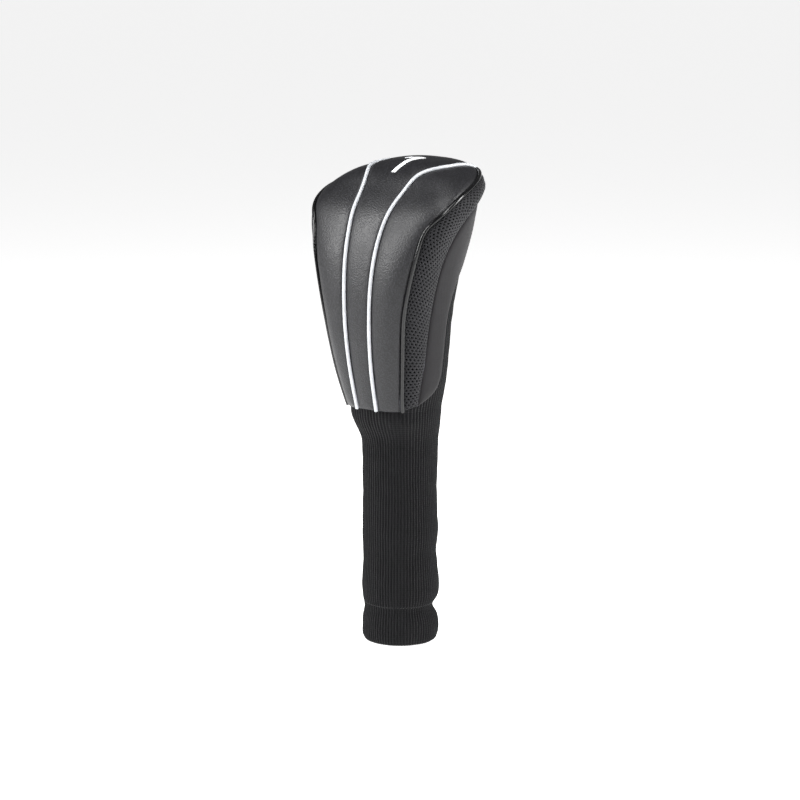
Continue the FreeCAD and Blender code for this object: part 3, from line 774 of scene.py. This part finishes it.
def raised(line, height):
    """Line moved off the head form."""
    out = np.array([FORM.find_nearest(Vector(point))[1] for point in line])
    for smoothing in range(NORMAL_SMOOTHING):
        out[1:-1] = (out[:-2] + 2 * out[1:-1] + out[2:]) / 4
    return line + unit(out) * height


def strip_radii(line, radius, seed):
    """Radius along a piping: a slight pull at each stitch of the seam and a slow unevenness."""
    stitch = STITCH_PULL * np.cos(2 * math.pi * lengths(line) / STITCH_PITCH)
    return radius * (1 + stitch + 0.03 * waves(line, 22.0, seed))


def piping(kind, side, line, radius, seed, material):
    """Coated strip round its filler cord, along a line; side ends the names, as in _left."""
    strip = tube(kind + "_strip" + side, line, strip_radii(line, radius, seed), STRIP_SIDES, material)
    place(strip, kind, kind + side)
    cord_radii = np.full(len(line), CORD_RADIUS)
    core = tube(kind + "_cord_core" + side, line, cord_radii, CORD_SIDES, thread_cloth)
    place(core, "cord", kind + "_cord" + side)


edge_line = raised(resample(whole(edge_right), 560), PIPING_RAISE)
piping("edge_piping", "", edge_line, PIPING_RADIUS, 3, black_strip)
white_raised = raised(resample(white_right, 260), PIPING_RAISE)
for side, line, seed in (("_right", white_raised, 6), ("_left", mirror(white_raised), 4)):
    piping("white_piping", side, line, WHITE_PIPING_RADIUS, seed, white_strip)


# Knitted sleeve --------------------------------------------------------------------------------------

RIBS = 79
RIB_POINTS = 6
RIB_SHAPE = (-0.62, -0.12, 0.22, 0.30, 0.22, -0.12)
RIB_SHARE_INSIDE = -0.4
COURSE = 1.7
NECK_INSET = 1.5
HEAD_STEP = 2.0
HEAD_TURNS = 181
PLAIN_TOP = 182.0
PLAIN_STEP = 1.5
TONGUE_ROWS = 58
FOLD_Z = 2.4
FOLD_INSET = 0.5
FOLD_ROWS = 9
HEM_ROWS = 8
HEM_INSET = 0.3
INSIDE_ROWS = 26
# Where the relaxed tube is drawn in or hangs loose: height, reach and share of its radius.
SLACK = ((27.0, 5.5, -0.135), (12.0, 9.0, 0.040), (45.0, 11.0, 0.055), (70.0, 8.0, -0.035),
         (88.0, 9.0, 0.020), (122.0, 12.0, -0.020), (-1.0, 4.0, -0.06))
SLACK_SIDE = math.radians(130)
columns = RIBS * RIB_POINTS
turn = np.arange(columns) * 2 * math.pi / columns
sweep = np.abs(np.where(turn > math.pi, turn - 2 * math.pi, turn))
facing = np.stack([np.sin(turn), -np.cos(turn)], axis=1)



def head_reach(height, angle):
    """Distance from the neck's axis to the head form at a height, in a direction round the axis."""
    start = np.array([0.0, NECK_Y, height])
    return np.linalg.norm(cast(start, (math.sin(angle), -math.cos(angle), 0)) - start)


head_heights = np.arange(SEAM_Z + 0.05, SEAM_Z + 124, HEAD_STEP)
head_turns = np.linspace(0, math.pi, HEAD_TURNS)
head_radius = np.array([[head_reach(height, angle) for angle in head_turns] for height in head_heights])

# Upper edge of the knit at each column: under the foot of the crown in front, up the tongue at the back.
tongue_turn = np.arctan2(tongue_right[:, 0], NECK_Y - tongue_right[:, 1])
edge_turn = math.atan2(edge_right[0][0], NECK_Y - edge_right[0][1])
knit_top = np.interp(sweep, np.concatenate([[0.0, edge_turn], tongue_turn]),
                     np.concatenate([[SEAM_Z + 2.2, SEAM_Z + 3.0], tongue_right[:, 2] + 1.0]))


def body_of_sleeve(heights, depth):
    """Points of the sleeve, as deep inside its outside as given, for a row of heights at each column."""
    radius = read_grid(head_radius[..., None], (heights - head_heights[0]) / HEAD_STEP,
                       np.broadcast_to(sweep / math.pi * (HEAD_TURNS - 1), heights.shape))[..., 0]
    neck = facing * (radius - NECK_INSET - depth)[..., None] + np.array([0.0, NECK_Y])
    loose = 0.35 + 0.65 * np.clip(np.cos(turn - SLACK_SIDE), 0, 1) ** 1.5
    slack = 1 + loose * sum(amount * np.exp(-((heights - z) / reach) ** 2) for z, reach, amount in SLACK)
    tube_part = facing * (SLEEVE_RADIUS * slack - depth)[..., None]
    climb = np.clip((heights - FLARE_Z) / (SEAM_Z - FLARE_Z), 0, 1)
    flare = np.array(FLARE)
    share = natural_spline(flare[:, 0], flare[:, 1], climb.ravel()).reshape(climb.shape)
    share = np.clip(share, 0, 1)[..., None]
    flat = (1 - share) * tube_part + share * neck
    return np.concatenate([flat, heights[..., None]], axis=-1)


def knit_rows():
    """Rows of the sleeve's surface, once round its wall: down the outside, round the fold, up the inside."""
    upper = eased(TONGUE_ROWS, 0.0, 1.0)[::-1]
    top_rows = PLAIN_TOP + (knit_top[None] - PLAIN_TOP) * upper[:, None]
    plain = np.arange(PLAIN_TOP - PLAIN_STEP, FOLD_Z, -PLAIN_STEP)[:, None] * np.ones(columns)
    outside = body_of_sleeve(np.concatenate([top_rows, plain]), 0.0)
    fold_turn = np.linspace(0, math.pi, FOLD_ROWS)
    fold_radius = SLEEVE_RADIUS - KNIT_THICK + KNIT_THICK * np.cos(fold_turn) - FOLD_INSET
    fold_height = FOLD_Z - FOLD_Z * np.sin(fold_turn)
    fold = np.stack([np.concatenate([facing * radius, np.full((columns, 1), height)], axis=1)
                     for radius, height in zip(fold_radius, fold_height)])
    hem_heights = np.linspace(4, HEM_HEIGHT, HEM_ROWS)[:, None] * np.ones(columns)
    hem_wall = np.broadcast_to(facing * (MOUTH_RADIUS - HEM_INSET), (HEM_ROWS, columns, 2))
    hem = np.concatenate([hem_wall, hem_heights[..., None]], axis=2)
    rise = np.linspace(0, 1, INSIDE_ROWS)[:, None]
    inside = body_of_sleeve(HEM_HEIGHT + 1.0 + rise * (knit_top[None] - HEM_HEIGHT - 1.3), KNIT_THICK)
    return outside, np.concatenate([fold, hem, inside])


outside, inside = knit_rows()
rows_out = len(outside)
ribs = np.tile(RIB_SHAPE, RIBS)
rib_share = np.concatenate([np.ones(rows_out), np.linspace(1, RIB_SHARE_INSIDE, FOLD_ROWS),
                            np.full(len(inside) - FOLD_ROWS, RIB_SHARE_INSIDE)])
knit = np.concatenate([outside, inside])
sway = 0.66 * waves(knit, 70.0, 11) * np.clip((knit[..., 2] - 40) / 110, 0, 1)
crease = 0.35 * waves(knit * [1, 1, 0.35], 26.0, 12) * np.exp(-((knit[..., 2] - 165) / 26) ** 2)
uneven = 0.22 * waves(knit, 14.0, 13)
knit[..., :2] += facing * (ribs * rib_share[:, None] + crease + uneven)[..., None]
knit[..., :2] += np.stack([-facing[:, 1], facing[:, 0]], axis=1) * sway[..., None]
faces = quads(len(knit), columns, True)
last = (len(knit) - 1) * columns
for column in range(columns):
    beside = (column + 1) % columns
    faces.append((last + column, last + beside, beside, column))
faces = [tuple(reversed(face)) for face in faces]
sleeve = make_object("rib_knit_sleeve", knit.reshape(-1, 3), faces, rib_knit)
stitch = sleeve.data.attributes.new("stitch", "FLOAT_VECTOR", "POINT")
rib_place = np.broadcast_to(np.arange(columns) / RIB_POINTS * 2, knit.shape[:2])
values = np.stack([rib_place, knit[..., 2] / COURSE, np.zeros(knit.shape[:2])], axis=-1)
stitch.data.foreach_set("vector", values.astype(np.float32).ravel())
place(sleeve, "rib_knit", "knit_sleeve")


# Hem stitching and number ----------------------------------------------------------------------------

ZIGZAG_HALF = 0.8
ZIGZAG_PROUD = 0.12
ZIGZAG_RADIUS = 0.2
ZIGZAG_POINTS = 8
NUMBER_THICK = 0.7
NUMBER_PROUD = 0.45
NUMBER_FACING = (0.0, -0.35, 0.94)

thread_row = int(np.argmin(np.abs(outside[:, 0, 2] - HEM_STITCH_Z)))
rib_columns = np.arange(RIBS) * RIB_POINTS
crowns = knit[thread_row, rib_columns + RIB_POINTS // 2]
grooves = knit[thread_row, rib_columns]
hem_line = np.stack([crowns + [0, 0, ZIGZAG_HALF], grooves - [0, 0, ZIGZAG_HALF]], axis=1).reshape(-1, 3)
hem_line = resample(np.concatenate([hem_line, hem_line[:1]]), RIBS * ZIGZAG_POINTS)[:-1]
hem_line[:, :2] *= 1 + ZIGZAG_PROUD / SLEEVE_RADIUS
hem_radii = np.full(len(hem_line), ZIGZAG_RADIUS)
place(tube("hem_zigzag_thread", hem_line, hem_radii, 6, thread_cloth, closed=True), "thread", "hem_thread")


def number_piece():
    """Raised numeral that follows the finished centre panel."""
    faces = quads(*centre_outer.shape[:2], False)
    panel_tree = BVHTree.FromPolygons([Vector(p) for p in centre_outer.reshape(-1, 3)], faces)
    work = bmesh.new()
    outline = work.faces.new([work.verts.new((x, y, 0)) for x, y in NUMBER_ONE])
    outline.normal_update()
    bmesh.ops.triangulate(work, faces=work.faces)
    bmesh.ops.subdivide_edges(work, edges=work.edges, cuts=5, use_grid_fill=True)
    points = []
    for vertex in work.verts:
        hit = panel_tree.ray_cast(Vector((vertex.co.x, vertex.co.y, TOP_Z + 30)), Vector((0, 0, -1)))[0]
        points.append(np.array(hit) + (0, 0, NUMBER_PROUD))
    work.verts.index_update()
    shapes = [tuple(vertex.index for vertex in face.verts) for face in work.faces]
    work.free()
    normals = np.tile(NUMBER_FACING, (len(points), 1))
    piece = thickened("number_one_applique", np.array(points), normals, shapes, NUMBER_THICK, number_print)
    rounded = piece.modifiers.new("Rounded", "BEVEL")
    rounded.width = 0.12 * MM
    rounded.segments = 2
    rounded.angle_limit = math.radians(50)
    place(piece, "number", "number_one")


number_piece()


# Inner layers ----------------------------------------------------------------------------------------

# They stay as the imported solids, and the shell hides them.
foam_look = cloth_material("polyurethane_foam_open_cell", "#3a3a3e", "#55555a", 0.9, 0.9, 0.1, 0.3)
fleece = cloth_material("polyester_fleece_short_pile", "#141416", "#26262a", 0.7, 0.9, 0.4, 0.3)
LOOKS = (("foam", foam_look), ("lining", fleece), ("tape", thread_cloth), ("cord", thread_cloth))
for name, node in frame["nodes"].items():
    for word, look in LOOKS:
        if word in name:
            node.data.materials.clear()
            node.data.materials.append(look)


# Stage -----------------------------------------------------------------------------------------------

TARGET = Vector((0, 0, 0.190))
VIEW_AZIMUTH = math.radians(40)
VIEW_ELEVATION = math.radians(10)
VIEW_DISTANCE = 2.0
VIEW_WIDTH = 0.6216
FLOOR_HALF = 100000.0
FLOOR_Z = -0.4


def from_target(azimuth, elevation, distance):
    return TARGET + distance * Vector((math.sin(azimuth) * math.cos(elevation),
                                       -math.cos(azimuth) * math.cos(elevation), math.sin(elevation)))


def aim_at_target(made):
    """Turns a camera or light to the target and puts it in the scene."""
    made.rotation_mode = "QUATERNION"
    made.rotation_quaternion = (TARGET - made.location).to_track_quat("-Z", "Y")
    scene.collection.objects.link(made)


camera = bpy.data.objects.new("camera", bpy.data.cameras.new("camera"))
camera.location = from_target(VIEW_AZIMUTH, VIEW_ELEVATION, VIEW_DISTANCE)
camera.data.lens = camera.data.sensor_width * VIEW_DISTANCE / VIEW_WIDTH
camera.data.clip_end = 200.0
aim_at_target(camera)
scene.camera = camera

# Soft boxes: azimuth, elevation, distance, width and height, power.
LIGHTS = (("soft_left", -38, 30, 1.4, (0.40, 0.9), 24.0), ("soft_front", 62, 42, 1.4, (0.30, 0.6), 11.0),
          ("soft_right", 128, 24, 1.4, (0.30, 1.1), 20.0), ("soft_top", 30, 78, 1.5, (0.7, 0.7), 9.0))
for name, azimuth, elevation, distance, (width, height), power in LIGHTS:
    lamp = bpy.data.lights.new(name, "AREA")
    lamp.shape = "RECTANGLE"
    lamp.size = width
    lamp.size_y = height
    lamp.energy = power
    light = bpy.data.objects.new(name, lamp)
    light.location = from_target(math.radians(azimuth), math.radians(elevation), distance)
    aim_at_target(light)

world = bpy.data.worlds.new("studio")
scene.world = world
world.use_nodes = True
world_tree = world.node_tree
heading = add(world_tree, "ShaderNodeTexCoord", {}).outputs["Generated"]
height = add(world_tree, "ShaderNodeSeparateXYZ", {"Vector": heading}).outputs["Z"]
glow = add(world_tree, "ShaderNodeMapRange",
           {"Value": height, "From Min": 0.02, "From Max": 0.20, "To Min": 0.85, "To Max": 0.10},
           interpolation_type="SMOOTHSTEP")
background = world_tree.nodes["Background"]
background.inputs["Color"].default_value = linear("#ffffff")
world_tree.links.new(glow.outputs[0], background.inputs["Strength"])
scene.view_settings.view_transform = "Standard"

# Matt white paper with a fine grain; it glows a little, as an overexposed backdrop does.
paper, paper_tree, paper_coords = material_tree("floor_white_paper")
grain = add(paper_tree, "ShaderNodeTexNoise",
            {"Vector": paper_coords, "Scale": per_metre(0.6), "Detail": 2.0})
surface(paper_tree, grain.outputs["Fac"], 0.02,
        {"Base Color": linear("#fafafa"), "Roughness": 0.9, "Emission Color": linear("#ffffff"),
         "Emission Strength": 0.78}, 0.2)
floor_corners = [(x * FLOOR_HALF, y * FLOOR_HALF, FLOOR_Z) for x, y in ((-1, -1), (1, -1), (1, 1), (-1, 1))]
floor = make_object("floor", floor_corners, [(0, 1, 2, 3)], paper)
